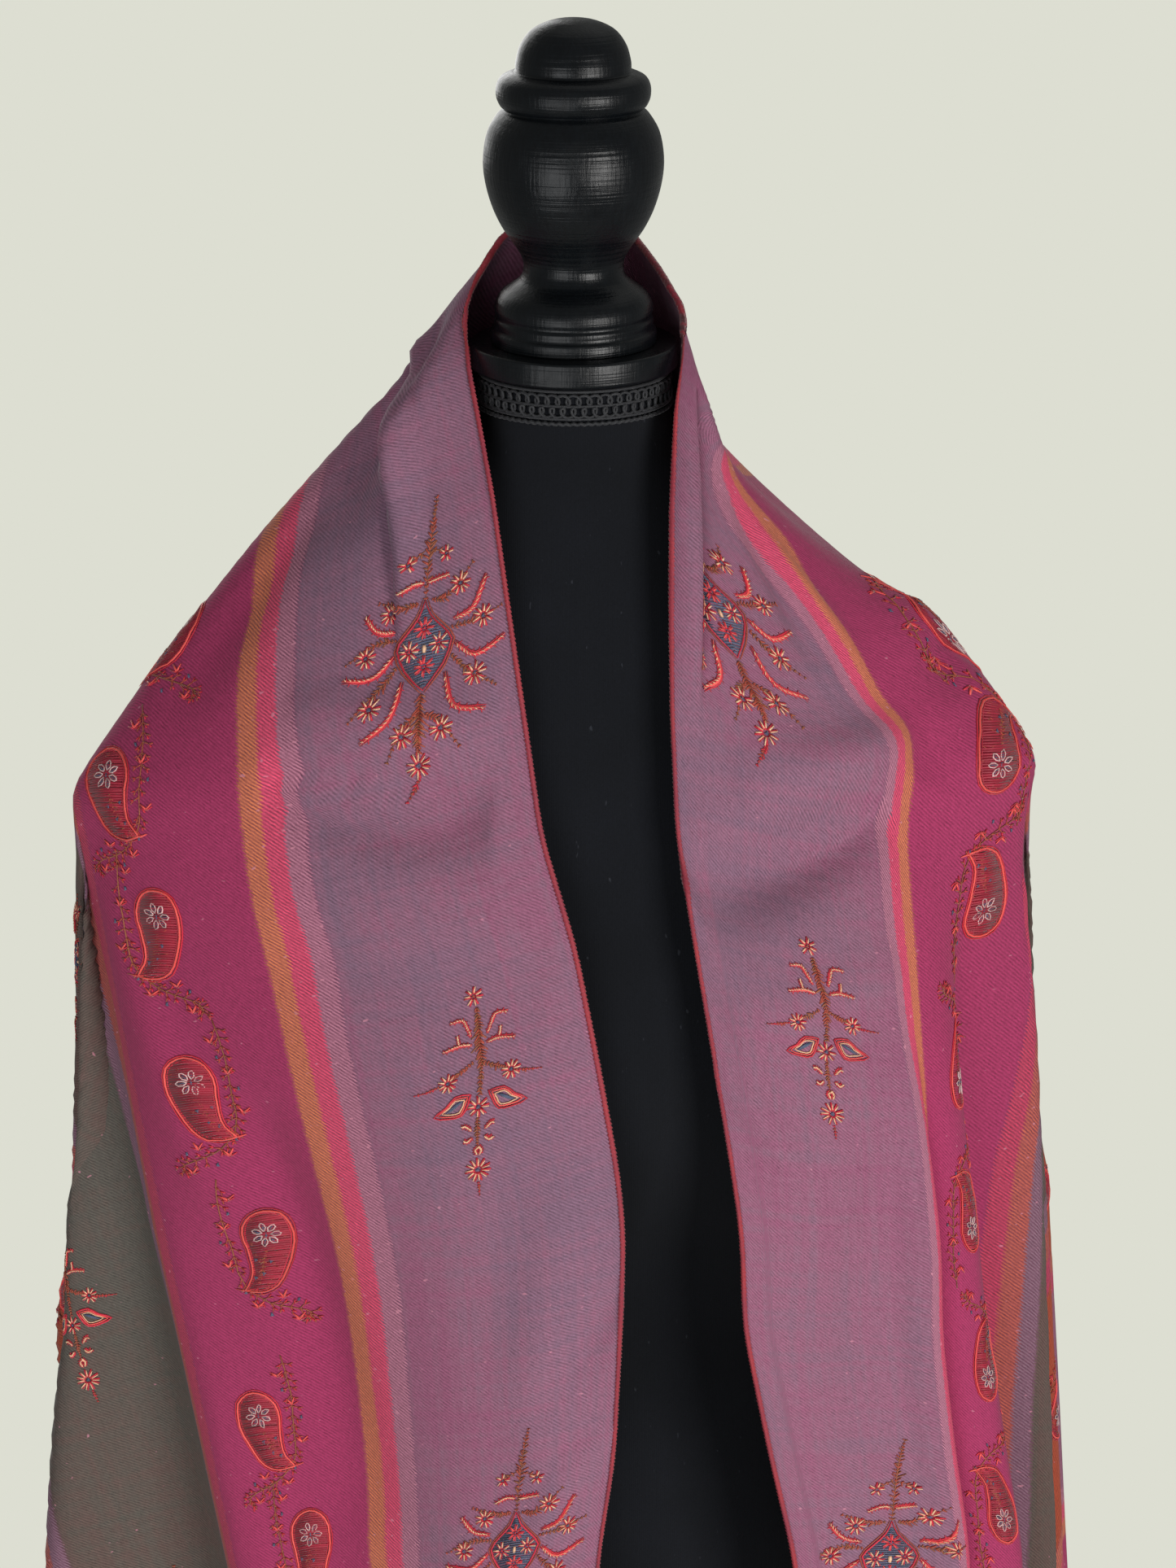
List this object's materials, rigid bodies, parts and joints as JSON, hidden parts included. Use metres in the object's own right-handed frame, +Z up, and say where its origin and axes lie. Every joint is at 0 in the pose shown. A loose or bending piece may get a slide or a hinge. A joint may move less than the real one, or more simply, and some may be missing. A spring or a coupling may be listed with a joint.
{
  "type": "pashmina shawl on a limbless dress form",
  "caption": "Striped, embroidered pashmina shawl worn open over a limbless dress form with a turned neck finial, on a pole and round base.",
  "frame": {"origin": "centre of the round base's underside, on the floor", "axes": "+Z up along the pole, -Y to the front of the form, where the shawl is open, +X to the right as seen from the front"},
  "size_m": [0.6056, 0.3999, 1.5562],
  "materials": {
    "shawl_cloth": "soft fine wool twill, striped and embroidered",
    "edge_thread": "red whipping thread",
    "form_jersey": "matt black jersey",
    "braid_trim": "black looped braid",
    "painted_wood": "satin black paint"
  },
  "bodies": {
    "root": {"shawl_panel": "shawl_cloth", "edge_whipping": "edge_thread", "form_body": "form_jersey", "neck_braid": "braid_trim", "neck_disc": "painted_wood", "finial": "painted_wood", "pole": "painted_wood", "stand_base": "painted_wood"}
  },
  "joints": []
}
